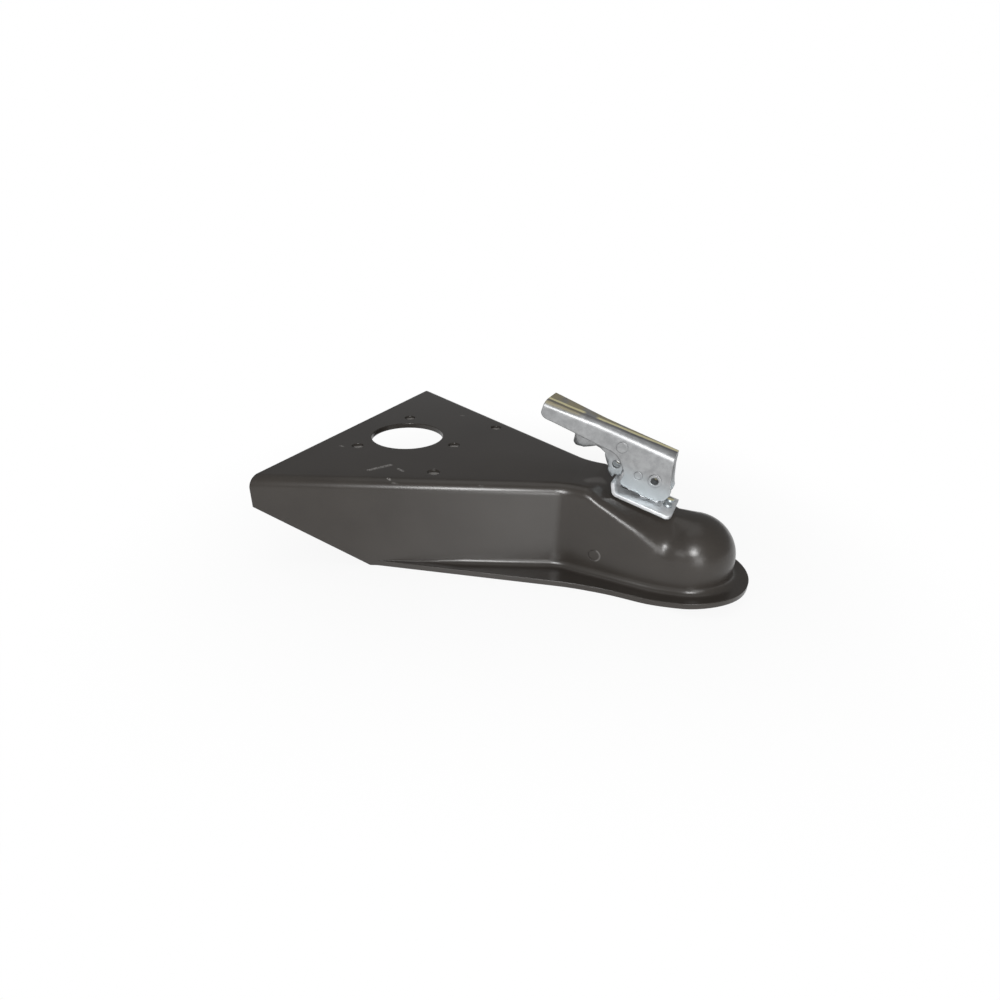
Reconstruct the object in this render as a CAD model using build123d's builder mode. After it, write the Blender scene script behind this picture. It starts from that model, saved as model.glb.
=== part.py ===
"""A-frame trailer coupling head: one stamped steel body with a ball socket at its nose, and a plated
lever latch that lifts the ball clamp inside the neck.

Millimetres. +X points forwards, out of the nose, +Z up. The origin is the centre of the tow ball.
The latch is drawn in a frame of its own that leans with the neck: u runs forwards down the slope,
w stands square to it, and the lever's pivot is its origin.
"""
from build123d import *
from math import atan2, cos, pi, radians, sin, tan
import os

# Ball, sheet and heights
BALL_R = 29.37
SOCKET_R = 30.0
SHEET = 5.0
NOSE_R = SOCKET_R + SHEET
TOP_Z = 53.0
BOTTOM_Z = -30.0
DEEP_Z = -60.0

# A-frame: its angle, where it meets the neck, and the slanted cut at the rear of its walls
FRAME_HALF_ANGLE = 25.0
SPREAD = tan(radians(FRAME_HALF_ANGLE))
VALLEY_X = -107.0
VALLEY_R = 40.0
REAR_X = -343.0
FOLD_R = 10.0
REAR_CUT_X = -259.0
REAR_CUT_Z = 26.0
REAR_CUT_R = 12.0

# Neck: a short ramp down from the frame's top, a gentle slope that carries the latch, a dip before the dome.
# A ridge runs down each side, from the frame's fold to the dome.
NECK_X = -90.0
NECK_STEPS = (-90.0, -85.0, -80.0, -75.0, -70.0, -64.0, -56.0, -48.0, -40.0, -32.0, -25.0, -18.0)
RAMP_X = -87.0
RAMP_DROP = tan(radians(32))
SEAT_X = -22.0
SEAT_Z = 37.2
SEAT_SLOPE = 9.5
SEAT_COS = cos(radians(SEAT_SLOPE))
SEAT_SIN = sin(radians(SEAT_SLOPE))
DIP_X = -26.0
DIP = 0.031
RAMP_SOFTNESS = 4.0
SEAT_SOFTNESS = 1.0
RIDGE_DROP = 0.56
CREST_HALF = 20.0
CREST_HALF_FRONT = 9.0
CREST_SETBACK = 4.0
RIDGE_SETBACK = 8.0
DOME_LAP = 0.1

# Flange round the lower edge and the cove above it
FLANGE_R = 52.0
FLANGE_BEND_X = -72.0
FLANGE_BEND_R = 200.0
FLANGE_REAR_X = -256.0
COVE_X = -186.0
COVE_RUN_X = -217.0
COVE_R = 6.0

# Jack hole, its three bolts and the pair of spare holes
JACK_X = -284.0
JACK_R = 35.0
JACK_PCD = 104.5
BOLT_R = 5.5
SPARE_X = -217.0
SPARE_Y = 63.0

# Latch frame: the lever's pivot and its lean
PIVOT = (-39.0, 0.0, 62.5)
LEVER_LEAN = 15.0
SLOPE_COS = cos(radians(LEVER_LEAN))
SLOPE_SIN = sin(radians(LEVER_LEAN))
PLATE = 2.5

# Latch base, in a frame that lies on the neck's slope below the pivot
SEAT_GAP = 0.2
BASE_SHEET = 3.0
BASE_HALF = 19.0
FRONT_FLAT = 6.0
FRONT_DROOP = 3.2
REAR_DROOP = 0.2
BASE_FRONT_U = 19.0
BASE_CORNER_R = 5.0
BEND_U = -26.0
WALL_U = -32.3
WALL_TOP = (-36.2, 11.1)
BEND_R = 6.0
EAR_R = 7.6
EAR_INNER = 3.9
EAR_OUTER = 6.6
SLOT_U = -16.5
SLOT_LENGTH = 27.0
SLOT_HALF = 3.8
RIVET_U = 12.5
RIVET_Y = 5.0

# Lever
LEVER_SHEET = 3.0
LEVER_HALF = 10.0
LEVER_BEND_R = 6.5
TAIL_HALF = 13.5
FLARE_U = -58.0
TAIL_U = -106.0
LEVER_TOP_W = 27.0
TAIL_W = 8.0
CHEEK_R = 12.2
CHEEK_REAR_U = -19.5
PIVOT_R = 4.6
PIVOT_BORE_R = 3.2
PIVOT_HEAD_R = 5.6
HEAD = 0.9
HEAD_GAP = 0.1

# Trigger, its pivot and the lock hole
TRIGGER = (-35.2, 15.0)
TRIGGER_R = 3.0
LOCK = (-34.5, -2.5)
LOCK_R = 3.6

# Ball clamp, the pin that lifts it and the pin that guides it
LIFT = (-14.0, -2.0)
LIFT_R = 3.5
GUIDE_X = -76.0
GUIDE_Z = -6.0
GUIDE_R = 5.0
CLAMP_HALF = 15.0
STEM_HALF = 3.4
EYE_R = 6.6
STEM_FRONT = 3.5
STEM_REAR = 8.0
SHOULDER_Z = 20.0
SHANK_R = 4.7
BOLT_END_Z = -22.0
POCKET_Z = -5.0
POCKET_R = 11.0
NUT_FLATS = 15.0
NUT_HEIGHT = 8.0
LEVER_SWING = 55.0
CLAMP_SWING = 12.0
RUN = 0.06
CLEAR = 0.35

slope_dir = (SLOPE_COS, 0, -SLOPE_SIN)
seat_dir = (SEAT_COS, 0, -SEAT_SIN)
seat_at = (PIVOT[0], 0, SEAT_Z + tan(radians(SEAT_SLOPE)) * (SEAT_X - PIVOT[0]))
seat = Plane(origin=seat_at, x_dir=seat_dir, z_dir=(SEAT_SIN, 0, SEAT_COS))
seat_side = Plane(origin=seat_at, x_dir=seat_dir, z_dir=(0, -1, 0))
pivot_local = seat_side.to_local_coords(Vector(PIVOT))
pivot_at = (pivot_local.X, pivot_local.Y)
side = Plane(origin=PIVOT, x_dir=slope_dir, z_dir=(0, -1, 0))
deck = Plane(origin=PIVOT, x_dir=slope_dir, z_dir=(SLOPE_SIN, 0, SLOPE_COS))
upright = Plane(origin=(0, 0, 0), x_dir=(1, 0, 0), z_dir=(0, -1, 0))


def wall_y(x, inset=0.0):
    """Distance of the A-frame wall from the centre plane at x."""
    return NOSE_R + (VALLEY_X - x) * SPREAD - inset / cos(radians(FRAME_HALF_ANGLE))


def neck_top(x):
    """Height of the neck's crest at x, with soft bends at both ends of the ramp."""
    ramp = TOP_Z - RAMP_DROP * (x - RAMP_X)
    slope = SEAT_Z + tan(radians(SEAT_SLOPE)) * (SEAT_X - x) - DIP * max(0.0, x - DIP_X) ** 2
    upper = (TOP_Z + ramp - ((TOP_Z - ramp) ** 2 + RAMP_SOFTNESS) ** 0.5) / 2
    return (upper + slope + ((upper - slope) ** 2 + SEAT_SOFTNESS) ** 0.5) / 2


def neck_section(x, inset):
    """Upright sides to a ridge, a leaning facet above it and a flat crest, with the corners rounded."""
    along = (x - NECK_X) / -NECK_X
    crest = TOP_Z if x == NECK_X else neck_top(x)
    ridge = TOP_Z - RIDGE_DROP * (x - NECK_X)
    flat = CREST_HALF_FRONT + (CREST_HALF - CREST_HALF_FRONT) * max(0.0, 1 - 3 * along)
    lean = atan2(crest - ridge, NOSE_R - flat)
    ridge_tan = tan((pi / 2 - lean) / 2)
    crest_tan = tan(lean / 2)
    ridge_set = (FOLD_R if x == NECK_X else RIDGE_SETBACK) - inset * ridge_tan
    crest_set = CREST_SETBACK - inset * crest_tan
    half = NOSE_R - inset
    low = ridge - inset * ridge_tan
    top = crest - inset
    flat = flat - inset * crest_tan
    bow = ridge_set * tan((pi / 2 - lean) / 4)
    swell = crest_set * tan(lean / 4)
    turn = (pi / 2 + lean) / 2
    points = [
        (half, low - ridge_set),
        (half - bow * sin(turn), low - bow * cos(turn)),
        (half - ridge_set * cos(lean), low + ridge_set * sin(lean)),
        (flat + crest_set * cos(lean), top - crest_set * sin(lean)),
        (flat - swell * sin(lean / 2), top - swell * cos(lean / 2)),
        (flat - crest_set, top),
    ]
    left = [(-y, z) for y, z in points]
    with BuildLine(Plane(origin=(x, 0, 0), x_dir=(0, 1, 0), z_dir=(1, 0, 0))) as outline:
        Line((-half, DEEP_Z), left[0])
        ThreePointArc(left[0], left[1], left[2])
        Line(left[2], left[3])
        if lean > 0.01:
            ThreePointArc(left[3], left[4], left[5])
        else:
            Line(left[3], left[5])
        Line(left[5], points[5])
        if lean > 0.01:
            ThreePointArc(points[5], points[4], points[3])
        else:
            Line(points[5], points[3])
        Line(points[3], points[2])
        ThreePointArc(points[2], points[1], points[0])
        Polyline(points[0], (half, DEEP_Z), (-half, DEEP_Z))
    return Face(outline.wire())


def dome_section(inset):
    """The neck's last section: straight sides and a half circle just under the dome's own."""
    half = NOSE_R - inset
    stops = (180, 150, 118, 102, 78, 62, 30, 0)
    with BuildLine(Plane(origin=(0, 0, 0), x_dir=(0, 1, 0), z_dir=(1, 0, 0))) as outline:
        Line((-half, DEEP_Z), (-half, 0))
        for start, end in zip(stops, stops[1:]):
            rim = []
            for angle in (start, (start + end) / 2, end):
                reach = half if angle in (0, 180) else half - DOME_LAP * (1 if angle in stops else 1.1)
                rim.append((reach * cos(radians(angle)), reach * sin(radians(angle))))
            ThreePointArc(*rim)
        Polyline((half, 0), (half, DEEP_Z), (-half, DEEP_Z))
    return Face(outline.wire())


def neck_form(inset):
    """The neck, from the A-frame's rounded channel to the dome."""
    sections = [neck_section(x, inset) for x in NECK_STEPS]
    with BuildPart() as neck:
        loft(sections[:2], ruled=True)
        loft([*sections[1:], dome_section(inset)], ruled=True)
    return neck.part


def stamped_form(inset):
    """The body's outer form, or with an inset the form of its hollow."""
    half = NOSE_R - inset
    rear = REAR_X - 2 * inset
    valley = VALLEY_X - (half - wall_y(VALLEY_X, inset)) / SPREAD
    with BuildPart() as frame:
        with BuildSketch(Plane.XY.offset(DEEP_Z)) as plan:
            with BuildLine():
                Polyline(
                    (rear, -wall_y(rear, inset)),
                    (valley, -half),
                    (NECK_X, -half),
                    (NECK_X, half),
                    (valley, half),
                    (rear, wall_y(rear, inset)),
                    close=True,
                )
            make_face()
            fillet([v for v in plan.vertices() if abs(v.X - valley) < 1], VALLEY_R + inset)
        extrude(amount=TOP_Z - inset - DEEP_Z)
        top_edges = frame.faces().sort_by(Axis.Z)[-1].edges()
        fillet(top_edges.filter_by(lambda edge: abs((edge @ 0).X - (edge @ 1).X) > 1), FOLD_R - inset)
    with BuildPart() as form:
        add(frame.part)
        add(neck_form(inset))
        Sphere(half)
        with BuildSketch(Plane.XY.offset(DEEP_Z)):
            Circle(half)
            with Locations((NECK_X, 0)):
                Rectangle(-NECK_X, 2 * half, align=(Align.MIN, Align.CENTER))
        extrude(amount=-DEEP_Z)
    return form.part


def flange_form():
    """The flat brim, before the hollow is taken out of it."""
    rear_y = wall_y(FLANGE_REAR_X) - 0.5
    with BuildPart() as flange:
        with BuildSketch(Plane.XY.offset(BOTTOM_Z)) as plan:
            with BuildLine():
                Polyline(
                    (FLANGE_REAR_X, -rear_y),
                    (FLANGE_BEND_X, -FLANGE_R),
                    (0, -FLANGE_R),
                    (0, FLANGE_R),
                    (FLANGE_BEND_X, FLANGE_R),
                    (FLANGE_REAR_X, rear_y),
                    close=True,
                )
            make_face()
            fillet([v for v in plan.vertices() if abs(v.X - FLANGE_BEND_X) < 1], FLANGE_BEND_R)
            Circle(FLANGE_R)
        extrude(amount=SHEET)
    return flange.part


def cove_profile(x, radius):
    """The hollow fillet's section, square to the near wall at x, let a little into wall and brim."""
    wall = radians(FRAME_HALF_ANGLE)
    plane = Plane(
        origin=(x, -wall_y(x), BOTTOM_Z + SHEET),
        x_dir=(-sin(wall), cos(wall), 0),
        z_dir=(cos(wall), sin(wall), 0),
    )
    bow = radius * (1 - cos(radians(45)))
    with BuildSketch(plane) as profile:
        with BuildLine():
            Polyline((0, radius), (1, radius), (1, -1), (-radius, -1), (-radius, 0))
            ThreePointArc((-radius, 0), (-bow, bow), (0, radius))
        make_face()
    return profile.sketch


def cove_form():
    """The hollow fillet between the wall and the brim, carried round the nose, and its two run-outs."""
    level = BOTTOM_Z + SHEET
    run_out = loft([cove_profile(COVE_RUN_X, 0.5), cove_profile(COVE_X, COVE_R)], ruled=True, mode=Mode.PRIVATE)
    with BuildPart() as cove:
        with BuildLine() as path:
            near = FilletPolyline(
                (COVE_X, -wall_y(COVE_X), level), (VALLEY_X, -NOSE_R, level), (0, -NOSE_R, level), radius=VALLEY_R
            )
            ThreePointArc((0, -NOSE_R, level), (NOSE_R, 0, level), (0, NOSE_R, level))
            mirror(near, about=Plane.XZ)
        sweep(cove_profile(COVE_X, COVE_R), path=path.line)
        add(run_out)
        mirror(run_out, about=Plane.XZ)
    return cove.part


with BuildPart() as coupler_body:
    add(stamped_form(0.0))
    add(flange_form())
    add(cove_form())
    add(stamped_form(SHEET), mode=Mode.SUBTRACT)
    split(bisect_by=Plane.XY.offset(BOTTOM_Z), keep=Keep.TOP)
    with BuildSketch(upright) as rear_cut:
        with BuildLine():
            Polyline(
                (REAR_X - 10, BOTTOM_Z - 10),
                (REAR_CUT_X, BOTTOM_Z - 10),
                (REAR_CUT_X, BOTTOM_Z),
                (REAR_X, REAR_CUT_Z),
                (REAR_X - 10, REAR_CUT_Z),
                close=True,
            )
        make_face()
    extrude(amount=2 * wall_y(REAR_X), both=True, mode=Mode.SUBTRACT)
    with Locations((JACK_X, 0, TOP_Z)):
        Hole(JACK_R, depth=2 * SHEET)
        with PolarLocations(JACK_PCD / 2, 3):
            Hole(BOLT_R, depth=2 * SHEET)
    with Locations((SPARE_X, SPARE_Y, TOP_Z), (SPARE_X, -SPARE_Y, TOP_Z)):
        Hole(BOLT_R, depth=2 * SHEET)
    with BuildSketch(seat):
        with Locations((SLOT_U, 0)):
            SlotOverall(SLOT_LENGTH, 2 * SLOT_HALF)
        with Locations((RIVET_U, RIVET_Y), (RIVET_U, -RIVET_Y)):
            Circle(2.5)
    extrude(amount=2 * SHEET, both=True, mode=Mode.SUBTRACT)
    with BuildSketch(upright):
        with Locations((GUIDE_X, GUIDE_Z)):
            Circle(GUIDE_R)
    extrude(amount=2 * NOSE_R, both=True, mode=Mode.SUBTRACT)

with BuildPart() as guide_pin:
    with BuildSketch(upright):
        with Locations((GUIDE_X, GUIDE_Z)):
            Circle(GUIDE_R)
    extrude(amount=NOSE_R, both=True)


def base_section(u, droop):
    """The base plate's cross section at u: a flat middle and edges that droop over the neck."""
    cross = Plane(origin=seat.from_local_coords((u, 0, SEAT_GAP)), x_dir=(0, 1, 0), z_dir=seat_dir)
    with BuildSketch(cross) as section:
        with BuildLine():
            for height in (0.0, BASE_SHEET):
                Line((-FRONT_FLAT, height), (FRONT_FLAT, height))
                for way in (-1, 1):
                    start = (way * FRONT_FLAT, height)
                    TangentArc(start, (way * BASE_HALF, height - droop), tangent=(way, 0))
            for way in (-1, 1):
                Line((way * BASE_HALF, -droop), (way * BASE_HALF, BASE_SHEET - droop))
        make_face()
    return section.sketch


with BuildPart() as latch_base:
    loft([base_section(BEND_U, REAR_DROOP), base_section(BASE_FRONT_U, FRONT_DROOP)], ruled=True)
    with BuildSketch(seat):
        with BuildLine():
            Polyline(
                (BEND_U - 1, -BASE_HALF), (BASE_FRONT_U, -BASE_HALF), (BASE_FRONT_U, BASE_HALF),
                (BEND_U - 1, BASE_HALF), close=True,
            )
        outline = make_face()
        fillet(outline.vertices().sort_by(Axis.X)[-2:], BASE_CORNER_R)
    extrude(amount=3 * BASE_SHEET, both=True, mode=Mode.INTERSECT)
    with BuildSketch(seat_side):
        with BuildLine():
            FilletPolyline(
                (BEND_U, SEAT_GAP), (WALL_U, SEAT_GAP), WALL_TOP, radius=BEND_R
            )
            offset(amount=BASE_SHEET, side=Side.RIGHT)
        make_face()
    extrude(amount=BASE_HALF, both=True)
    with BuildSketch(seat_side):
        with Locations(pivot_at):
            Circle(EAR_R)
        with Locations((pivot_at[0], SEAT_GAP + BASE_SHEET / 2)):
            Rectangle(2 * EAR_R, pivot_at[1] - SEAT_GAP - BASE_SHEET / 2, align=(Align.CENTER, Align.MIN))
    extrude(amount=EAR_OUTER, both=True)
    with BuildSketch(seat_side):
        with Locations((pivot_at[0], SEAT_GAP + BASE_SHEET)):
            Rectangle(3 * EAR_R, 2 * pivot_at[1], align=(Align.CENTER, Align.MIN))
    extrude(amount=EAR_INNER, both=True, mode=Mode.SUBTRACT)
    with BuildSketch(side):
        Circle(PIVOT_R)
    extrude(amount=EAR_OUTER, both=True, mode=Mode.SUBTRACT)
    with BuildSketch(seat):
        with Locations((SLOT_U, 0)):
            SlotOverall(SLOT_LENGTH, 2 * SLOT_HALF)
        with Locations((RIVET_U, RIVET_Y), (RIVET_U, -RIVET_Y)):
            Circle(2.5)
    extrude(amount=3 * BASE_SHEET, mode=Mode.SUBTRACT)

with BuildPart() as base_rivets:
    with BuildSketch(seat.offset(-SHEET - 1.5)):
        with Locations((RIVET_U, RIVET_Y), (RIVET_U, -RIVET_Y)):
            Circle(2.5)
    extrude(amount=SHEET + 1.5 + SEAT_GAP + BASE_SHEET)
    with BuildSketch(seat.offset(SEAT_GAP + BASE_SHEET)):
        with Locations((RIVET_U, RIVET_Y), (RIVET_U, -RIVET_Y)):
            Circle(3.9)
    extrude(amount=1.8, taper=25)

with BuildPart() as lever_pivot:
    with BuildSketch(side):
        Circle(PIVOT_R)
        Circle(PIVOT_BORE_R, mode=Mode.SUBTRACT)
    extrude(amount=LEVER_HALF + HEAD_GAP, both=True)
    with BuildSketch(side.offset(LEVER_HALF + HEAD_GAP), side.offset(-LEVER_HALF - HEAD_GAP - HEAD)):
        Circle(PIVOT_HEAD_R)
        Circle(PIVOT_BORE_R, mode=Mode.SUBTRACT)
    extrude(amount=HEAD)


def lever_channel(inset):
    """The lever's folded channel, or with an inset its hollow, before its cheeks are cut to shape."""
    front = 40.0
    tail = TAIL_U - 2 * inset
    half = LEVER_HALF - inset
    tail_half = TAIL_HALF - inset + (TAIL_HALF - LEVER_HALF) * (TAIL_U - tail) / (FLARE_U - TAIL_U)
    with BuildPart() as channel:
        with BuildSketch(deck.offset(-40)):
            with BuildLine():
                Polyline(
                    (front, -half), (FLARE_U, -half), (tail, -tail_half),
                    (tail, tail_half), (FLARE_U, half), (front, half), close=True,
                )
            make_face()
        extrude(amount=LEVER_TOP_W - inset + 40)
        top_edges = channel.faces().sort_by(Axis(PIVOT, (SLOPE_SIN, 0, SLOPE_COS)))[-1].edges()
        fillet(top_edges.filter_by(lambda edge: abs((edge @ 0).X - (edge @ 1).X) > 5), LEVER_BEND_R - inset)
    return channel.part


with BuildPart() as latch_lever:
    add(lever_channel(0.0))
    add(lever_channel(LEVER_SHEET), mode=Mode.SUBTRACT)
    with BuildSketch(side) as cheeks:
        with BuildLine():
            foot = CHEEK_R * cos(radians(15)), -CHEEK_R * sin(radians(15))
            middle = CHEEK_R * cos(radians(52)), -CHEEK_R * sin(radians(52))
            Polyline(
                foot, (6, LEVER_TOP_W), (6, LEVER_TOP_W + 5), (TAIL_U, LEVER_TOP_W + 5),
                (TAIL_U, TAIL_W), (-36, TAIL_W), (CHEEK_REAR_U, -CHEEK_R), (0, -CHEEK_R),
            )
            ThreePointArc((0, -CHEEK_R), middle, foot)
        make_face()
        fillet(cheeks.vertices().sort_by_distance((TAIL_U, TAIL_W))[0], 7)
        fillet(cheeks.vertices().sort_by_distance((-36, TAIL_W))[0], 18)
        fillet(cheeks.vertices().sort_by_distance((CHEEK_REAR_U, -CHEEK_R))[0], 7)
    extrude(amount=2 * TAIL_HALF, both=True, mode=Mode.INTERSECT)
    with BuildSketch(side):
        Circle(PIVOT_R + RUN)
        with Locations(LIFT):
            Circle(LIFT_R)
        with Locations(TRIGGER):
            Circle(TRIGGER_R)
    extrude(amount=2 * TAIL_HALF, both=True, mode=Mode.SUBTRACT)

with BuildPart() as lift_pin:
    with BuildSketch(side):
        with Locations(LIFT):
            Circle(LIFT_R)
    extrude(amount=LEVER_HALF, both=True)

with BuildPart() as trigger_rivet:
    with BuildSketch(side):
        with Locations(TRIGGER):
            Circle(TRIGGER_R)
    extrude(amount=LEVER_HALF, both=True)
    with BuildSketch(side.offset(LEVER_HALF), side.offset(-LEVER_HALF - 0.8)):
        with Locations(TRIGGER):
            Circle(4.8)
    extrude(amount=0.8)

with BuildPart() as latch_trigger:
    with BuildSketch(side) as outline:
        with BuildLine():
            Polyline(
                (-29.5, 21), (-41, 21), (-52, 12), (-77.5, 12), (-77.5, -3.5), (-68, -3.5), (-55.5, 5),
                (-48, 3), (-41, -9), (-35.5, -15.5), (-32.6, -15.5), (-32.8, -12.2), (-27, -10.5),
                (-27, -4), (-26.5, 5), close=True,
            )
        make_face()
    extrude(amount=EAR_OUTER, both=True)
    with BuildSketch(side):
        with Locations((-77.5 + PLATE, -3.5 + PLATE)):
            Rectangle(80, 60, align=(Align.MIN, Align.MIN))
        with Locations((-60, -40)):
            Rectangle(80, 60, align=(Align.MIN, Align.MIN))
    extrude(amount=EAR_INNER + 0.2, both=True, mode=Mode.SUBTRACT)
    with BuildSketch(side):
        with Locations(TRIGGER):
            Circle(TRIGGER_R + RUN)
        with Locations(LOCK):
            Circle(LOCK_R)
    extrude(amount=EAR_OUTER, both=True, mode=Mode.SUBTRACT)

lift_at = side.from_local_coords(LIFT)
stem_x = lift_at.X + (STEM_FRONT - STEM_REAR) / 2


def guide_in_clamp(share):
    """Where the guide pin stands in the clamp, at a share of the lever's swing."""
    swing, turn = radians(LEVER_SWING * share), radians(CLAMP_SWING * share)
    arm_x, arm_z = lift_at.X - PIVOT[0], lift_at.Z - PIVOT[2]
    pin_x = GUIDE_X - PIVOT[0] - (arm_x * cos(swing) + arm_z * sin(swing))
    pin_z = GUIDE_Z - PIVOT[2] - (arm_z * cos(swing) - arm_x * sin(swing))
    turned_x = pin_x * cos(turn) - pin_z * sin(turn)
    turned_z = pin_x * sin(turn) + pin_z * cos(turn)
    return lift_at.X + turned_x, lift_at.Z + turned_z


with BuildPart() as lift_bolt:
    with BuildSketch(upright):
        with Locations((stem_x, SHOULDER_Z)):
            Rectangle(STEM_FRONT + STEM_REAR, lift_at.Z - SHOULDER_Z, align=(Align.CENTER, Align.MIN))
        with Locations((lift_at.X, lift_at.Z)):
            Circle(EYE_R)
            Circle(LIFT_R + RUN, mode=Mode.SUBTRACT)
    extrude(amount=STEM_HALF, both=True)
    with BuildSketch(Plane.XY.offset(BOLT_END_Z)):
        with Locations((stem_x, 0)):
            Circle(SHANK_R)
    extrude(amount=SHOULDER_Z - BOLT_END_Z)

with BuildPart() as adjusting_nut:
    with BuildSketch(Plane.XY.offset(POCKET_Z - NUT_HEIGHT)):
        with Locations((stem_x, 0)):
            RegularPolygon(NUT_FLATS / 2, 6, major_radius=False)
            Circle(SHANK_R, mode=Mode.SUBTRACT)
    extrude(amount=NUT_HEIGHT)

with BuildPart() as ball_clamp:
    with BuildSketch(upright):
        with BuildLine():
            Polyline(
                (-66, SHOULDER_Z), (-40, SHOULDER_Z), (-30, 12), (-20, -8), (-20, -24), (-40, -28),
                (-84, -28), (-86, -14), (-84, 4), (-72, 14), close=True,
            )
        make_face()
    extrude(amount=CLAMP_HALF, both=True)
    Sphere(BALL_R + 0.5, mode=Mode.SUBTRACT)
    with BuildSketch(upright):
        with BuildLine(mode=Mode.PRIVATE) as locus:
            ThreePointArc(guide_in_clamp(0), guide_in_clamp(0.5), guide_in_clamp(1))
        SlotArc(locus.edge(), 2 * (GUIDE_R + CLEAR))
    extrude(amount=CLAMP_HALF, both=True, mode=Mode.SUBTRACT)
    with BuildSketch(Plane.XY.offset(DEEP_Z)):
        with Locations((stem_x, 0)):
            Circle(SHANK_R)
    extrude(amount=SHOULDER_Z - DEEP_Z, mode=Mode.SUBTRACT)
    with BuildSketch(Plane.XY.offset(DEEP_Z)):
        with Locations((stem_x, 0)):
            Circle(POCKET_R)
    extrude(amount=POCKET_Z - DEEP_Z, mode=Mode.SUBTRACT)


def coil_form(base, radius, wire_r, pitch, turns):
    """A wire wound about a plane's normal, with an eight-sided section at every twelfth of a turn."""
    sections = []
    for step in range(round(12 * turns) + 1):
        angle = radians(30 * step)
        outward = base.x_dir * cos(angle) + base.y_dir * sin(angle)
        around = base.y_dir * cos(angle) - base.x_dir * sin(angle)
        centre = base.origin + outward * radius + base.z_dir * (pitch * step / 12)
        along = around * radius + base.z_dir * (pitch / radians(360))
        with BuildSketch(Plane(origin=centre, x_dir=outward, z_dir=along)) as section:
            RegularPolygon(wire_r, 8)
        sections.append(section.sketch)
    return loft(sections, ruled=True, mode=Mode.PRIVATE)


with BuildPart() as clamp_spring:
    add(coil_form(Plane(origin=(stem_x, 0, SHOULDER_Z + 1.6)), 9.6, 1.1, 3.6, 3.5))

with BuildPart() as trigger_spring:
    add(coil_form(Plane(origin=side.offset(-3.0).from_local_coords(TRIGGER), x_dir=slope_dir, z_dir=(0, -1, 0)), 4.4, 0.6, 1.6, 3.5))

os.makedirs("parts", exist_ok=True)
pieces = {
    "coupler_body": coupler_body,
    "guide_pin": guide_pin,
    "latch_base": latch_base,
    "base_rivets": base_rivets,
    "lever_pivot": lever_pivot,
    "latch_lever": latch_lever,
    "lift_pin": lift_pin,
    "trigger_rivet": trigger_rivet,
    "latch_trigger": latch_trigger,
    "lift_bolt": lift_bolt,
    "adjusting_nut": adjusting_nut,
    "ball_clamp": ball_clamp,
    "clamp_spring": clamp_spring,
    "trigger_spring": trigger_spring,
}
for name, piece in pieces.items():
    piece.part.label = name
    export_step(piece.part, f"parts/{name}.step")
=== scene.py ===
# %% [markdown]
# # A trailer coupling head
#
# This lesson dresses a CAD model of a trailer coupling head: a black painted stamping that drops over a
# tow ball, with a small zinc plated lever latch on its neck. Most shapes come from the CAD frame and stay
# where they are. What is made here is the finish (paint, plating, wear), a few softer forms, the light and
# the camera.
#
# Everything is in metres. The origin is the centre of the tow ball, +X points forwards and +Z up.

import math

import bmesh
import bpy
import numpy as np
from mathutils import Matrix, Vector


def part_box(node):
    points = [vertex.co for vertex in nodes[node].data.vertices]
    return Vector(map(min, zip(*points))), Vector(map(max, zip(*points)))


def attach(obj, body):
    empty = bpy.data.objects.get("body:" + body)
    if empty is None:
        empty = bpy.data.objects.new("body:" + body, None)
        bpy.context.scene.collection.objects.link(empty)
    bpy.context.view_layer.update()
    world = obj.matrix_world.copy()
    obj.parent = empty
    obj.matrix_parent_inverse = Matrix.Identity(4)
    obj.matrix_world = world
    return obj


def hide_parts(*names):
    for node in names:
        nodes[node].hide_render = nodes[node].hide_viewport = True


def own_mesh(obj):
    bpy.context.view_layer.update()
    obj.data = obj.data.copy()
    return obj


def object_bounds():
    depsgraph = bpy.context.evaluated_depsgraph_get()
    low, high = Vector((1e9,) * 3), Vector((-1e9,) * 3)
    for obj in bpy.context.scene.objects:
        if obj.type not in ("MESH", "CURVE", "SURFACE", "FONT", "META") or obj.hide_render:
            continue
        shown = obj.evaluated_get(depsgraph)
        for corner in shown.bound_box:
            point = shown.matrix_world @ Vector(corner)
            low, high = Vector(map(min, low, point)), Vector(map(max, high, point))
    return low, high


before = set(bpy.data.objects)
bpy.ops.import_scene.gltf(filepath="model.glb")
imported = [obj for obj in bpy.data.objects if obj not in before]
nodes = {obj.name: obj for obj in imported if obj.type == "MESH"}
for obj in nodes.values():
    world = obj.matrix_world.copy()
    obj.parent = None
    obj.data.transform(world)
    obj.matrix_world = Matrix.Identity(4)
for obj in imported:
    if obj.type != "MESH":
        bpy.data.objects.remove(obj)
bare_low, bare_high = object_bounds()
print("CAD nodes:", ", ".join(sorted(nodes)))
print("bounds in mm:", [round(v * 1000, 1) for v in bare_low], [round(v * 1000, 1) for v in bare_high])

# %% [markdown]
# ## Writing shader maths as Python
#
# A finish is mostly arithmetic: a mask times a colour, one minus a worn patch. Blender does that with
# chains of Math nodes, which are slow to read and slow to wire by hand. Here one small class wraps a socket
# and overloads the operators, so that an expression such as `1 - mask * 0.5` adds its own nodes. Its `node`
# method makes any other node: the type, the settings that change its sockets, and then the sockets
# themselves.


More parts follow.
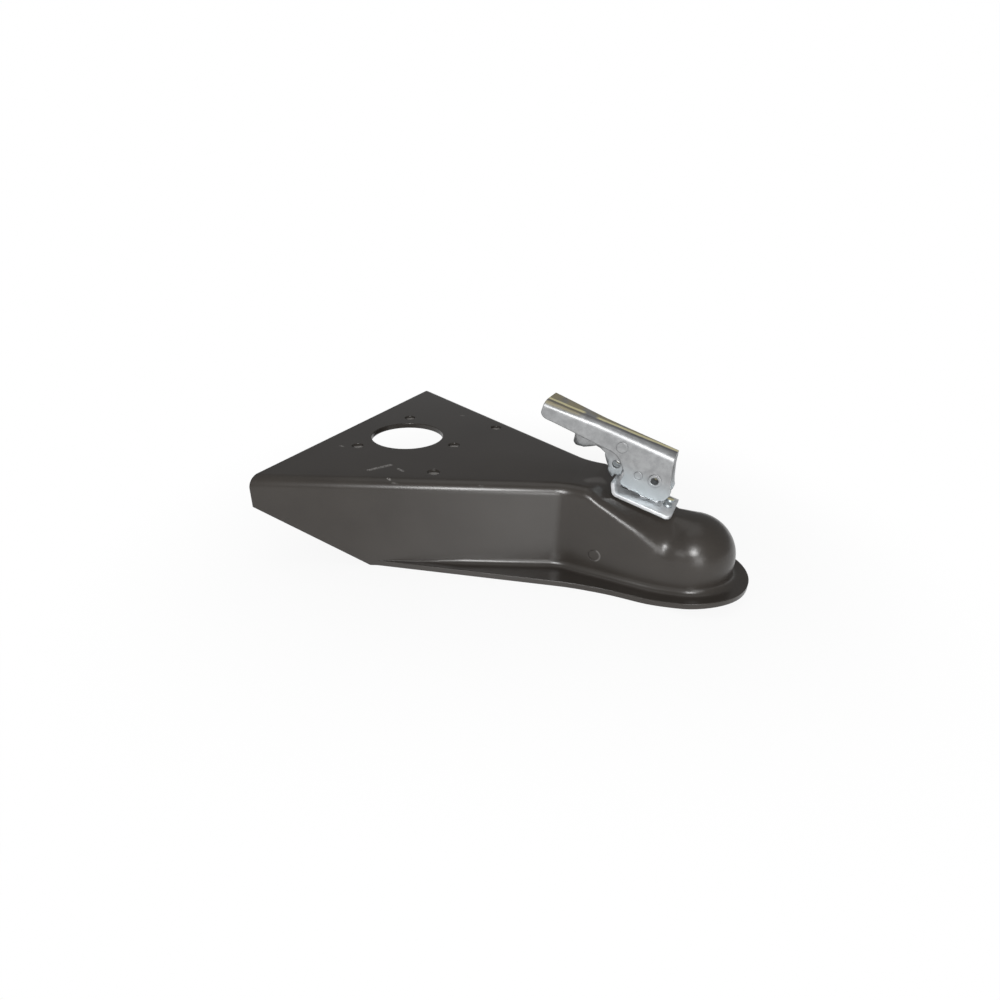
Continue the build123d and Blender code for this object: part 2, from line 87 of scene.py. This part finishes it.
# %% The socket wrapper
class Sock:
    """One output socket of a node tree, with the arithmetic that adds Math nodes to that tree."""

    def __init__(self, tree, socket):
        self.tree = tree
        self.socket = socket

    def node(self, kind, settings=None, out=0, **inputs):
        """Any node: its type, its settings, then values or links for its sockets by name or _number."""
        made = self.tree.nodes.new(kind)
        for name, value in (settings or {}).items():
            setattr(made, name, value)
        for name, value in inputs.items():
            key = int(name[1:]) if name[0] == "_" else name.replace("_", " ")
            if isinstance(value, Sock):
                self.tree.links.new(value.socket, made.inputs[key])
            else:
                made.inputs[key].default_value = value
        return Sock(self.tree, made.outputs[out])

    def math(self, operation, a, b=0.0):
        return self.node("ShaderNodeMath", {"operation": operation}, _0=a, _1=b)

    def __add__(self, other):
        return self.math("ADD", self, other)

    def __radd__(self, other):
        return self.math("ADD", other, self)

    def __mul__(self, other):
        return self.math("MULTIPLY", self, other)

    def __rmul__(self, other):
        return self.math("MULTIPLY", other, self)

    def __sub__(self, other):
        return self.math("SUBTRACT", self, other)

    def __rsub__(self, other):
        return self.math("SUBTRACT", other, self)

    def __truediv__(self, other):
        return self.math("DIVIDE", self, other)

    def __rtruediv__(self, other):
        return self.math("DIVIDE", other, self)

    def __pow__(self, other):
        return self.math("POWER", self, other)

    def __abs__(self):
        return self.math("ABSOLUTE", self)

    def least(self, other):
        return self.math("MINIMUM", self, other)

    def most(self, other):
        return self.math("MAXIMUM", self, other)

    def step(self, low, high):
        """0 below low, 1 above high and smooth between. With low above high it falls instead."""
        start, end = sorted((low, high))
        rising = self.node(
            "ShaderNodeMapRange",
            {"interpolation_type": "SMOOTHSTEP"},
            Value=self,
            From_Min=start,
            From_Max=end,
        )
        return rising if low < high else 1 - rising

    def axes(self):
        """The three parts of a vector socket."""
        return [self.node("ShaderNodeSeparateXYZ", None, index, Vector=self) for index in range(3)]

    def noise(self, scale, detail=2.0, roughness=0.5):
        """Noise from 0 to 1 at this vector, with so many cells to a metre."""
        return self.node(
            "ShaderNodeTexNoise", None, 0, Vector=self, Scale=scale, Detail=detail, Roughness=roughness
        )

    def mix(self, first, second):
        """A colour that goes from first to second as this value goes from 0 to 1."""
        return self.node("ShaderNodeMix", {"data_type": "RGBA"}, 2, _0=self, _6=first, _7=second)


print("wrapper ready:", ", ".join(name for name in vars(Sock) if name[0] != "_"))

# %% [markdown]
# Each finish starts from an empty material. Its patterns are read at Object coordinates, which here are
# metres in the part's own frame, so a scuff can be put at its real place. The texture coordinate's Normal
# is the way a face looks, in the same frame, and stays with the piece when the latch moves.


# %% Materials and who wears them
def material(name):
    """An empty material, with its object coordinates and the normal in the same frame."""
    made = bpy.data.materials.new(name)
    made.use_nodes = True
    made.node_tree.nodes.clear()
    coords = made.node_tree.nodes.new("ShaderNodeTexCoord")
    at = Sock(made.node_tree, coords.outputs["Object"])
    facing = Sock(made.node_tree, coords.outputs["Normal"])
    return made, at, facing


def surface(made, shader):
    """Sends a shader to the material's output."""
    out = made.node_tree.nodes.new("ShaderNodeOutputMaterial")
    made.node_tree.links.new(shader.socket, out.inputs["Surface"])


def wear_finish(finish, *pieces):
    """Gives pieces one finish in place of what they had."""
    for piece in pieces:
        piece.data.materials.clear()
        piece.data.materials.append(finish)
    print(finish.name, "on", ", ".join(piece.name for piece in pieces))


# %% [markdown]
# ## Black paint
#
# The stamping is sprayed with a semi-gloss black that looks a little brown beside pure grey. Close up it
# has orange peel, a shallow waviness that softens every reflection: a fine noise in the bump gives it. A
# Bevel node rounds the cut edges for the light alone, as thick paint does.
#
# Handling has left pale scuffs on the top plate. Each is a straight stroke: the mask is 1 near the line
# from its start to its end and 0 a width away, and a noise breaks it up. A faint pale patch, drawn as such
# a stroke, is a painted highlight where the plate bends into the neck. The walls of the small holes are
# painted pale low down, as painted light for the light seen in them. Where the pin through the neck was
# pressed in, the paint shows a faint ring. The ring's front half is painted pale as a painted highlight. A
# clear coat on the slanted walls grows towards the neck, where the picture shows the most sheen.

# %% Where the paint is marked
SCUFFS = [
    ((-0.2680, -0.0855), (-0.2580, -0.0680), 0.0028),
    ((-0.2475, -0.0715), (-0.2413, -0.0734), 0.0020),
    ((-0.2445, -0.0913), (-0.2425, -0.0915), 0.0015),
    ((-0.2386, -0.0932), (-0.2339, -0.0922), 0.0015),
    ((-0.3190, -0.1338), (-0.3180, -0.1335), 0.0014),
    ((-0.3055, -0.1278), (-0.3040, -0.1272), 0.0016),
    ((-0.1725, -0.0630), (-0.1700, -0.0622), 0.0016),
    ((-0.2660, 0.0780), (-0.2630, 0.0790), 0.0014),
    ((-0.3240, -0.0532), (-0.3206, -0.0532), 0.0014),
]
# A painted highlight where the plate bends into the neck: a faint pale stroke.
HIGHLIGHT_PATCH = ((-0.0930, -0.0150), (-0.0840, -0.0040), 0.0060)
PIN_AT = (-0.076, -0.006)
PIN_RING = 0.0052
NECK_SIDE = (0.030, 0.034)
JACK_AT = -0.284
JACK_EDGE = (0.040, 0.042)
HOLES_FROM = (-0.336, -0.333)
HOLES_TO = (-0.150, -0.155)
HOLE_FOOT = (0.0478, 0.0484)
HOLE_TOP = (0.0512, 0.0496)
SHEEN_RISE = (-0.30, -0.11)
SHEEN_END = (-0.090, -0.100)
PAINT_DARK = (0.0312, 0.0270, 0.0234, 1)
PAINT_LIGHT = (0.0372, 0.0326, 0.0284, 1)
# One pale for the real scuffs, the painted highlights and the painted light in the small holes.
PALE_WEAR_AND_LIGHT = (0.26, 0.25, 0.24, 1)


def stroke(x, y, start, end, width):
    """A straight mark: 1 on the line from start to end, 0 a width away from its nearest point."""
    run_x = end[0] - start[0]
    run_y = end[1] - start[1]
    span = run_x * run_x + run_y * run_y
    share = ((x - start[0]) * (run_x / span) + (y - start[1]) * (run_y / span)).most(0.0).least(1.0)
    off_x = x - start[0] - share * run_x
    off_y = y - start[1] - share * run_y
    return ((off_x * off_x + off_y * off_y) ** 0.5).step(width, width * 0.25)


# %% Paint material
def black_paint(name):
    """Semi-gloss paint: orange peel, scuffs on what looks up, a ring at the pin, painted light."""
    made, at, facing = material(name)
    x, y, z = at.axes()
    slant_x, _, slant_z = facing.axes()
    up = slant_z.step(0.6, 0.9)
    broad = at.noise(14.0, 3.0, 0.55)
    broken = at.noise(900.0).step(0.34, 0.58)
    scuffed = 0.0
    for start, end, width in SCUFFS:
        scuffed = stroke(x, y, start, end, width) + scuffed
    scuffed = scuffed.least(1.0) * up * broken
    from_pin = ((x - PIN_AT[0]) ** 2.0 + (z - PIN_AT[1]) ** 2.0) ** 0.5
    ring = abs(from_pin - PIN_RING).step(0.0012, 0.0) * abs(y).step(*NECK_SIDE)
    # Painted highlights: the ring's front half is painted pale, and so is the patch by the neck.
    ring_highlight = ring * x.step(PIN_AT[0], PIN_AT[0] + 0.003)
    painted_highlights = (stroke(x, y, *HIGHLIGHT_PATCH) * up * 0.20).most(ring_highlight * 0.5)
    from_jack = ((x - JACK_AT) ** 2.0 + y**2.0) ** 0.5
    # Painted light: the low walls of the small holes are painted pale for the light seen in them.
    wall = abs(slant_z).step(0.4, 0.2) * z.step(*HOLE_FOOT) * z.step(*HOLE_TOP)
    painted_hole_light = wall * from_jack.step(*JACK_EDGE) * x.step(*HOLES_FROM) * x.step(*HOLES_TO)
    tone = broad.step(0.3, 0.7).mix(PAINT_DARK, PAINT_LIGHT)
    colour = (scuffed * 0.9).most(painted_highlights).most(painted_hole_light * 0.7).mix(tone, PALE_WEAR_AND_LIGHT)
    slanted = slant_x.step(0.2, 0.4) * abs(slant_z).step(0.4, 0.1)
    sheen = slanted * x.step(*SHEEN_RISE) * x.step(*SHEEN_END)
    rounded = at.node("ShaderNodeBevel", {"samples": 6}, 0, Radius=0.0016)
    peel = at.noise(420.0) * 0.5 + ring
    normal = at.node(
        "ShaderNodeBump", None, 0, Strength=0.12, Distance=0.0005, Height=peel, Normal=rounded
    )
    shader = at.node(
        "ShaderNodeBsdfPrincipled",
        None,
        0,
        Base_Color=colour,
        Roughness=0.26 + broad * 0.06 + scuffed * 0.2,
        Specular_IOR_Level=0.40,
        Coat_Weight=sheen,
        Coat_Roughness=0.28,
        Normal=normal,
    )
    surface(made, shader)
    return made


paint = black_paint("black_paint")
wear_finish(paint, nodes["coupler_body"], nodes["guide_pin"])

# %% [markdown]
# ## Zinc plating
#
# The latch is pressed from sheet and zinc plated, with a passivate that dried yellow on the faces that look
# up. Plating is a metal with a soft sheen. A fine noise mottles it. The tint is drawn in the lever's own
# directions: a slanting yellow stripe along its top, with a gap near the tail, and a dull stain beside the
# stripe and on the tail. In the same directions a dark line along the top is painted shade, and a paler,
# cooler grey low on the cheeks is painted light. The saddle's plating is painted much paler than the
# lever's, as painted light, and has no tint.

# %% Where the plating is tinted, and where shade and light are painted
PIVOT_AT = (-0.0390, 0.0625)
LEVER_LEAN = math.radians(15.0)
STRIPE_SLOPE = 0.075
STRIPE_AT = 0.0020
STRIPE_EDGE = (0.0028, 0.0010)
STRIPE_GAP_AT = -0.070
STRIPE_GAP_EDGE = (0.0075, 0.0035)
STAIN_FROM = (0.0022, 0.0040)
TAIL_STAIN_FROM = (-0.074, -0.082)
# A dark line of painted shade along the lever's top.
SHADE_LINE_AT = -0.0018
SHADE_LINE_EDGE = (0.0022, 0.0008)
# Painted light: a paler, cooler grey low on the cheeks.
LOW_LIGHT_BELOW = (0.006, -0.012)
YELLOW = (1.0, 0.93, 0.58, 1)
STAIN = (0.47, 0.41, 0.24, 1)
SHADE_LINE_GREY = (0.15, 0.14, 0.14, 1)
LOW_LIGHT_GREY = (0.50, 0.56, 0.59, 1)


# %% Plating material
def zinc_plate(name, dark, light, tint):
    """Zinc mottled between two greys. Tint 1: lever stripes, painted shade, painted low light."""
    made, at, facing = material(name)
    x, y, z = at.axes()
    forth = x - PIVOT_AT[0]
    rise = z - PIVOT_AT[1]
    along = forth * math.cos(LEVER_LEAN) - rise * math.sin(LEVER_LEAN)
    above = forth * math.sin(LEVER_LEAN) + rise * math.cos(LEVER_LEAN)
    up = facing.axes()[2].step(0.55, 0.9) * tint
    mottle = at.noise(170.0, 4.0, 0.65)
    cloud = at.noise(60.0)
    across = y - along * STRIPE_SLOPE + (cloud - 0.5) * 0.002
    gap = abs(along - STRIPE_GAP_AT).step(*STRIPE_GAP_EDGE)
    stripe = up * abs(across - STRIPE_AT).step(*STRIPE_EDGE) * (1.0 - gap)
    side_stain = up * across.step(*STAIN_FROM) * cloud.step(0.30, 0.55)
    tail_stain = up * along.step(*TAIL_STAIN_FROM) * cloud.step(0.25, 0.50)
    # Painted shade: a dark line along the top.
    painted_shade_line = up * abs(across - SHADE_LINE_AT).step(*SHADE_LINE_EDGE)
    # Painted light: the cheeks are painted paler and cooler below the pivot.
    painted_low_light = above.step(*LOW_LIGHT_BELOW) * tint
    mottled = mottle.step(0.3, 0.7).mix(dark, light)
    grey = (painted_low_light * 0.6).mix(mottled, LOW_LIGHT_GREY)
    stained = (side_stain.most(tail_stain) * 0.75).mix(grey, STAIN)
    lined = (painted_shade_line * 0.6).mix(stained, SHADE_LINE_GREY)
    colour = stripe.mix(lined, YELLOW)
    rounded = at.node("ShaderNodeBevel", {"samples": 6}, 0, Radius=0.0012)
    normal = at.node(
        "ShaderNodeBump", None, 0, Strength=0.15, Distance=0.0003, Height=mottle, Normal=rounded
    )
    shader = at.node(
        "ShaderNodeBsdfPrincipled",
        None,
        0,
        Base_Color=colour,
        Metallic=0.85,
        Roughness=0.38 + mottle * 0.18,
        Normal=normal,
    )
    surface(made, shader)
    return made


PLATED = (
    "base_rivets",
    "lever_pivot",
    "latch_lever",
    "lift_pin",
    "trigger_rivet",
    "latch_trigger",
    "adjusting_nut",
)
zinc = zinc_plate("zinc_plate", (0.29, 0.294, 0.298, 1), (0.38, 0.385, 0.39, 1), 1.0)
# The saddle's plating is painted much paler than the lever's: painted light.
lit_saddle_plating = zinc_plate("saddle_zinc_painted_light", (0.66, 0.675, 0.690, 1), (0.80, 0.815, 0.830, 1), 0.0)
wear_finish(zinc, *[nodes[name] for name in PLATED])
wear_finish(lit_saddle_plating, nodes["latch_base"])

# %% [markdown]
# ## Spring wire and the casting
#
# Below the neck hangs a plain casting that grips the ball. It is rough and dark, and the wire of the two
# springs is smooth and bright, as is the bolt that the casting hangs on. One function does both: a grey, a
# roughness and the depth of a grain.


# %% Plain metals
def plain_metal(name, colour, rough, metallic, grain_size, grain_depth):
    """Bare metal with an even grain."""
    made, at, _ = material(name)
    grain = at.noise(grain_size, 3.0)
    normal = at.node("ShaderNodeBump", None, 0, Strength=0.3, Distance=grain_depth, Height=grain)
    shader = at.node(
        "ShaderNodeBsdfPrincipled",
        None,
        0,
        Base_Color=colour,
        Metallic=metallic,
        Roughness=rough + grain * 0.1,
        Normal=normal,
    )
    surface(made, shader)
    return made


wire = plain_metal("spring_wire", (0.36, 0.36, 0.36, 1), 0.28, 0.95, 300.0, 0.0001)
casting = plain_metal("clamp_casting", (0.09, 0.09, 0.092, 1), 0.5, 0.6, 240.0, 0.0006)
wear_finish(wire, nodes["clamp_spring"], nodes["trigger_spring"], nodes["lift_bolt"])
wear_finish(casting, nodes["ball_clamp"])

# %% [markdown]
# ## The stamping's soft forms
#
# A press can't leave a knife edge: where the neck runs into the ball dome the sheet flows, and the brim
# turns up round the nose. The stamping is a copy of the CAD one with those forms worked in. Planes cut the
# copy into short strips first, so that there are points to move. Then whole arrays do the work: rounds of
# averaging with the neighbours melt the join of neck and dome, a shallow dent ends the neck's ridge there,
# the brim is lifted along an S curve and trimmed, and the rear edge grows a little.

# %% Sizes of the soft forms
RIM_START = -0.032
RIM_END = 0.044
RIM_HEIGHT = 0.0092
RIM_TRIM = 0.003
TRIM_FADE = 0.072
BRIM_DEPTH = 0.019
COVE_EDGE = 0.041
FLANGE_RADIUS = 0.052
JOIN_AT = (-0.026, 0.030, 0.022)
JOIN_REACH = 0.017
JOIN_ROUNDS = 20
MELT_SHARE = 0.5
VALLEY_AT = (-0.0215, 0.031, 0.013)
VALLEY_REACH = 0.0085
VALLEY_DEPTH = 0.0022
STRIP = 0.004
STRIPS_FROM = -0.104
REAR_FROM = -0.330
REAR_GROWTH = 0.0025
REAR_FLARE = 0.45


# %% Formulas for whole arrays
def fade(value, start, width):
    """0 up to the start, 1 from a width beyond it, straight between."""
    return np.clip((value - start) / width, 0, 1)


def s_curve(share):
    """A share from 0 to 1 that sets off and arrives level."""
    return share**2 * (3 - 2 * share)


def away_from(points, place):
    """Distance of points from a place that is there on both sides, at +Y and at -Y."""
    return np.linalg.norm(points * (1, 0, 1) + np.abs(points) * (0, 1, 0) - place, axis=1)


def melted(points, edges, share, rounds):
    """Points moved towards the average of their neighbours, each by its share, a number of times."""
    count = np.bincount(edges.ravel(), minlength=len(points))[:, None]
    for _ in range(rounds):
        total = np.zeros_like(points)
        np.add.at(total, edges[:, 0], points[edges[:, 1]])
        np.add.at(total, edges[:, 1], points[edges[:, 0]])
        points = points + (total / count - points) * share[:, None]
    return points


# %% Cut a copy of the stamping into strips
def cut_copy(node, start, end, width):
    """A merged copy of a node's mesh, cut every width across X from start to end, and across Z there."""
    cut = bmesh.new()
    cut.from_mesh(nodes[node].data)
    bmesh.ops.remove_doubles(cut, verts=cut.verts, dist=1e-6)
    low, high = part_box(node)
    for axis, places in ((0, np.arange(start, end, width)), (2, np.arange(low[2], high[2], width)[1:])):
        across = Vector([float(axis == index) for index in range(3)])
        for place in places:
            near = [face for face in cut.faces if face.calc_center_median().x > start - width]
            parts = dict.fromkeys(part for face in near for part in (face, *face.edges, *face.verts))
            bmesh.ops.bisect_plane(
                cut,
                geom=list(parts),
                dist=1e-7,
                plane_co=across * float(place),
                plane_no=across,
            )
    bmesh.ops.triangulate(cut, faces=cut.faces)
    cut.verts.index_update()
    points = np.array([vert.co for vert in cut.verts])
    edges = np.array([[vert.index for vert in edge.verts] for edge in cut.edges])
    faces = [[vert.index for vert in face.verts] for face in cut.faces]
    cut.free()
    return points, edges, faces


points, edges, faces = cut_copy("coupler_body", STRIPS_FROM, FLANGE_RADIUS, STRIP)
print("stamping cut into", len(faces), "triangles")


# %% Work the soft forms in
def soft_stamping(points, edges):
    """The stamping with its neck melted into the dome, a valley where they meet and its brim turned up."""
    near_join = np.clip(2 * (1 - away_from(points, JOIN_AT) / JOIN_REACH), 0, 1)
    points = melted(points, edges, MELT_SHARE * near_join, JOIN_ROUNDS)
    valley = VALLEY_DEPTH * np.exp(-((away_from(points, VALLEY_AT) / VALLEY_REACH) ** 2))
    x, y, z = points.T
    y = y - np.sign(y) * valley
    reach = np.where(x > 0, np.hypot(x, y), np.abs(y))
    outer = fade(reach, COVE_EDGE, FLANGE_RADIUS - COVE_EDGE) * fade(x, -TRIM_FADE, TRIM_FADE)
    trim = 1 - RIM_TRIM * outer / np.maximum(reach, COVE_EDGE)
    lift = RIM_HEIGHT * s_curve(fade(x, RIM_START, RIM_END - RIM_START)) * fade(-z, 0, BRIM_DEPTH)
    rear = REAR_GROWTH * fade(-x, -REAR_FROM, REAR_FROM - bare_low.x)
    new_x = np.where(x > 0, x * trim, x - rear)
    new_y = y * trim + np.sign(y) * rear * REAR_FLARE
    return np.column_stack([new_x, new_y, z + lift])


def new_piece(name, points, faces, finish, body, crease=30.0):
    """A mesh object from arrays, smooth but for edges sharper than the crease angle, riding on a body."""
    mesh = bpy.data.meshes.new(name)
    mesh.from_pydata(points.tolist(), [], list(faces))
    mesh.shade_smooth()
    mesh.set_sharp_from_angle(angle=math.radians(crease))
    mesh.materials.append(finish)
    piece = bpy.data.objects.new(name, mesh)
    bpy.context.collection.objects.link(piece)
    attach(piece, body)
    print(name, "has", len(faces), "faces")
    return piece


stamping = new_piece("stamping", soft_stamping(points, edges), faces, paint, "coupler")
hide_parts("coupler_body")

# %% [markdown]
# ## The lever and its trigger
#
# The lever's tail spreads so that a hand can pull on it, and it gets shallower towards its end. The cheeks
# reach down almost to the saddle, round the pivot. The copy is cut into strips like the stamping, and its
# points are moved in the lever's own directions: u along it and w above it, both measured from the pivot.
# The holes for the pivot and the lift pin stay round. The trigger's corners are melted a little, as
# tumbling does to small pressings, but not round its two holes.

# %% Sizes of the lever's forms
FLARE_FROM = -0.045
FLARE_TO = -0.106
FLARE_SHARE = 0.22
TAPER_SHARE = 0.24
TAIL_GROWTH = 0.0024
LEVER_TOP = 0.027
HUB = 0.006
HUB_FADE = 0.003
LIFT_AT = (-0.053041, 0.064192)
LIFT_CLEAR = (0.0044, 0.002)
CHEEK_GROWTH = 0.80
CHEEK_REAR = (-0.026, 0.006)
FRONT_GROWTH = 0.0033
FRONT_FROM = (-0.001, 0.008)
FRONT_DOWN = (-0.015, 0.025)
TRIGGER_HOLES = ((-0.072971, 0.069014), (-0.069118, 0.086099))
TRIGGER_CLEAR = (0.0058, 0.002)
TRIGGER_ROUNDS = 3
TRIGGER_CREASE = 40.0


def clear_of(points, holes, clear):
    """0 beside holes that run along Y, 1 away from them."""
    away = [np.hypot(points[:, 0] - hole_x, points[:, 2] - hole_z) for hole_x, hole_z in holes]
    return fade(np.min(away, axis=0), *clear)


# %% Shape the lever
def reshaped_lever(points):
    """Tail: y grows and depth shrinks on an S curve. Cheeks: what hangs moves away from the pivot."""
    x, y, z = points.T - np.array([[PIVOT_AT[0]], [0.0], [PIVOT_AT[1]]])
    u = x * math.cos(LEVER_LEAN) - z * math.sin(LEVER_LEAN)
    w = x * math.sin(LEVER_LEAN) + z * math.cos(LEVER_LEAN)
    tail = s_curve(fade(-u, -FLARE_FROM, FLARE_FROM - FLARE_TO))
    y = y * (1 + FLARE_SHARE * tail)
    w = LEVER_TOP - (LEVER_TOP - w) * (1 - TAPER_SHARE * tail)
    reach = np.maximum(np.hypot(u, w), HUB)
    hanging = np.clip(-w / reach, 0, 1) * fade(u, *CHEEK_REAR) * clear_of(points, [LIFT_AT], LIFT_CLEAR)
    grown = 1 + (1 - HUB / reach) * CHEEK_GROWTH * hanging
    front = FRONT_GROWTH * fade(u, *FRONT_FROM) * fade(-w, *FRONT_DOWN) * fade(reach, HUB, HUB_FADE)
    u = u * grown + front - TAIL_GROWTH * tail
    w = w * grown
    back_x = u * math.cos(LEVER_LEAN) + w * math.sin(LEVER_LEAN) + PIVOT_AT[0]
    back_z = w * math.cos(LEVER_LEAN) - u * math.sin(LEVER_LEAN) + PIVOT_AT[1]
    return np.column_stack([back_x, y, back_z])


lever_low, lever_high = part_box("latch_lever")
points, _, faces = cut_copy("latch_lever", lever_low[0], lever_high[0], STRIP)
lever = new_piece("flared_lever", reshaped_lever(points), faces, zinc, "lever")
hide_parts("latch_lever")

# %% Soften the trigger
trigger_low, trigger_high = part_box("latch_trigger")
points, edges, faces = cut_copy("latch_trigger", trigger_low[0], trigger_high[0], STRIP)
free = MELT_SHARE * clear_of(points, TRIGGER_HOLES, TRIGGER_CLEAR)
points = melted(points, edges, free, TRIGGER_ROUNDS)
trigger = new_piece("soft_trigger", points, faces, zinc, "trigger", TRIGGER_CREASE)
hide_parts("latch_trigger")

# %% [markdown]
# ## The clamp's spring
#
# A coil presses the clamp down from under the neck. It is a tube round a helix: the wire's circle stands at
# each step of the turn, on the outward direction and Z. The coil stands on the clamp's shoulder, so it goes
# up with the clamp when the lever opens.

# %% Wind the coil
WIRE_RADIUS = 0.0011
TURNS = 3.5
STEPS = 126
AROUND = 12


def coil(low, high):
    """A helix that fills a box: rings of points round its centre line, a middle point at each end."""
    radius = (high[1] - low[1]) / 2 - WIRE_RADIUS
    share = np.linspace(0, 1, STEPS)[:, None]
    turn = 2 * math.pi * TURNS * share
    angle = np.linspace(0, 2 * math.pi, AROUND, endpoint=False)[None, :]
    reach = radius + WIRE_RADIUS * np.cos(angle)
    rise = low[2] + WIRE_RADIUS + (high[2] - low[2] - 2 * WIRE_RADIUS) * share
    ring_x = (low[0] + high[0]) / 2 + reach * np.cos(turn)
    ring_y = (low[1] + high[1]) / 2 + reach * np.sin(turn)
    ring_z = rise + WIRE_RADIUS * np.sin(angle)
    rings = np.stack([ring_x, ring_y, ring_z], axis=-1)
    return np.vstack([rings.reshape(-1, 3), rings[0].mean(axis=0), rings[-1].mean(axis=0)])


def coil_faces():
    """Quads between neighbouring rings, and a fan of triangles on each end."""
    step, place = np.meshgrid(np.arange(STEPS - 1), np.arange(AROUND), indexing="ij")
    beside = (place + 1) % AROUND
    ring = step * AROUND
    after = ring + AROUND
    quads = np.stack([ring + place, ring + beside, after + beside, after + place], axis=-1)
    spoke = np.arange(AROUND)
    last = (STEPS - 1) * AROUND
    count = STEPS * AROUND
    start = np.column_stack([np.full(AROUND, count), (spoke + 1) % AROUND, spoke])
    end = np.column_stack([np.full(AROUND, count + 1), last + spoke, last + (spoke + 1) % AROUND])
    return [*quads.reshape(-1, 4)[:, ::-1].tolist(), *start[:, ::-1].tolist(), *end[:, ::-1].tolist()]


coil_low, coil_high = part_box("clamp_spring")
clamp_coil = new_piece("clamp_coil", coil(coil_low, coil_high), coil_faces(), wire, "clamp")
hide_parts("clamp_spring")
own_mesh(clamp_coil)

# %% [markdown]
# ## Floor, light and camera
#
# The picture shows the part on plain white. The floor is a pale diffuse sheet. For rays from the camera it
# is mostly plain white, with a share of the diffuse sheet near the part, and that share keeps the soft
# shadow. Reflections see it white. The world is white to the camera and a quiet fill light otherwise. In
# reflections it is only a little above the fill, because a white world makes the black paint pale.

# %% Floor
FLOOR_HALF = 6.0
FLOOR_GAP = 0.0002
FLOOR_GREY = (0.92, 0.92, 0.92, 1)
SHADOW_X = -0.15
SHADOW_EDGE = (0.42, 0.12)
SHADOW_SHARE = 0.14
WHITE = (1, 1, 1, 1)


def floor_material(name):
    """White to the camera, with the diffuse shading, and so the shadow, showing near the part."""
    made, at, _ = material(name)
    x, y, _ = at.axes()
    camera_ray = at.node("ShaderNodeLightPath", None, "Is Camera Ray")
    glossy_ray = at.node("ShaderNodeLightPath", None, "Is Glossy Ray")
    clear_ray = at.node("ShaderNodeLightPath", None, "Is Transmission Ray")
    near = (((x - SHADOW_X) ** 2.0 + y * y) ** 0.5).step(*SHADOW_EDGE)
    diffuse = at.node("ShaderNodeBsdfDiffuse", None, 0, Color=FLOOR_GREY)
    white = at.node("ShaderNodeEmission", None, 0, Color=WHITE, Strength=1.0)
    share = camera_ray * (1 - near * SHADOW_SHARE) + glossy_ray + clear_ray
    surface(made, at.node("ShaderNodeMixShader", None, 0, _0=share, _1=diffuse, _2=white))
    return made


floor_z = bare_low.z - FLOOR_GAP
corners = np.array([(-1, -1), (1, -1), (1, 1), (-1, 1)]) * FLOOR_HALF
floor_mesh = bpy.data.meshes.new("floor")
floor_mesh.from_pydata(np.column_stack([corners, np.full(4, floor_z)]).tolist(), [], [(0, 1, 2, 3)])
floor_mesh.materials.append(floor_material("floor_white"))
floor = bpy.data.objects.new("floor", floor_mesh)
bpy.context.collection.objects.link(floor)
print("floor at", round(floor_z * 1000, 1), "mm")

# %% World
FILL = 0.23
IN_REFLECTIONS = 0.05
world = bpy.data.worlds.new("studio")
bpy.context.scene.world = world
world.use_nodes = True
world.node_tree.nodes.clear()
paths = world.node_tree.nodes.new("ShaderNodeLightPath")
seen = Sock(world.node_tree, paths.outputs["Is Camera Ray"])
mirrored = Sock(world.node_tree, paths.outputs["Is Glossy Ray"])
through = Sock(world.node_tree, paths.outputs["Is Transmission Ray"])
level = FILL + (seen + through) * (1 - FILL) + mirrored * IN_REFLECTIONS
background = seen.node("ShaderNodeBackground", None, 0, Color=WHITE, Strength=level)
world_out = world.node_tree.nodes.new("ShaderNodeOutputWorld")
world.node_tree.links.new(background.socket, world_out.inputs["Surface"])
print("world fill", FILL)

# %% [markdown]
# The dome shows one round highlight almost where it faces the camera, so the main soft box stands beside
# the camera. A broad panel low on the right lights the slanted wall, and a large dim one hangs overhead.


# %% Lamps
def lamp(name, place, aim, size, power):
    """A square soft box at place, turned to aim."""
    data = bpy.data.lights.new(name, "AREA")
    data.size = size
    data.energy = power
    made = bpy.data.objects.new(name, data)
    turn = (Vector(aim) - Vector(place)).to_track_quat("-Z", "Y").to_matrix().to_4x4()
    made.matrix_world = Matrix.Translation(place) @ turn
    bpy.context.collection.objects.link(made)


lamp("beside_camera", (0.15, -0.94, 0.55), (0.0, 0.0, 0.0), 0.22, 9.0)
lamp("low_right", (0.45, -0.95, 0.10), (-0.12, -0.05, 0.0), 0.4, 3.0)
lamp("overhead", (-0.2, 0.1, 1.5), (-0.15, 0.0, 0.0), 1.0, 2.5)

# %% [markdown]
# The camera stands where the photo's did. Its place, roll and lens were fitted to the plate's outline, the
# jack hole, the bolt holes and the dome. The lens is given in sensor widths.

# %% Camera
VIEW_AZIMUTH = math.radians(24.1)
VIEW_ELEVATION = math.radians(27.2)
VIEW_ROLL = math.radians(1.85)
VIEW_TARGET = Vector((-0.1816, 0.0, 0.0060))
VIEW_DISTANCE = 0.5734
VIEW_LENS = 0.5958
SENSOR = 36.0
level_back = Vector((math.sin(VIEW_AZIMUTH), -math.cos(VIEW_AZIMUTH), 0.0)) * math.cos(VIEW_ELEVATION)
back = level_back + Vector((0.0, 0.0, math.sin(VIEW_ELEVATION)))
turn = (-back).to_track_quat("-Z", "Y").to_matrix() @ Matrix.Rotation(VIEW_ROLL, 3, "Z")
lens = bpy.data.cameras.new("camera")
lens.sensor_width = SENSOR
lens.lens = SENSOR * VIEW_LENS
lens.clip_start = 0.01
lens.clip_end = 50.0
camera = bpy.data.objects.new("camera", lens)
camera.matrix_world = Matrix.Translation(VIEW_TARGET + back * VIEW_DISTANCE) @ turn.to_4x4()
bpy.context.collection.objects.link(camera)
bpy.context.scene.camera = camera
bpy.context.scene.view_settings.view_transform = "Standard"
print("camera at", [round(v * 1000) for v in camera.location])
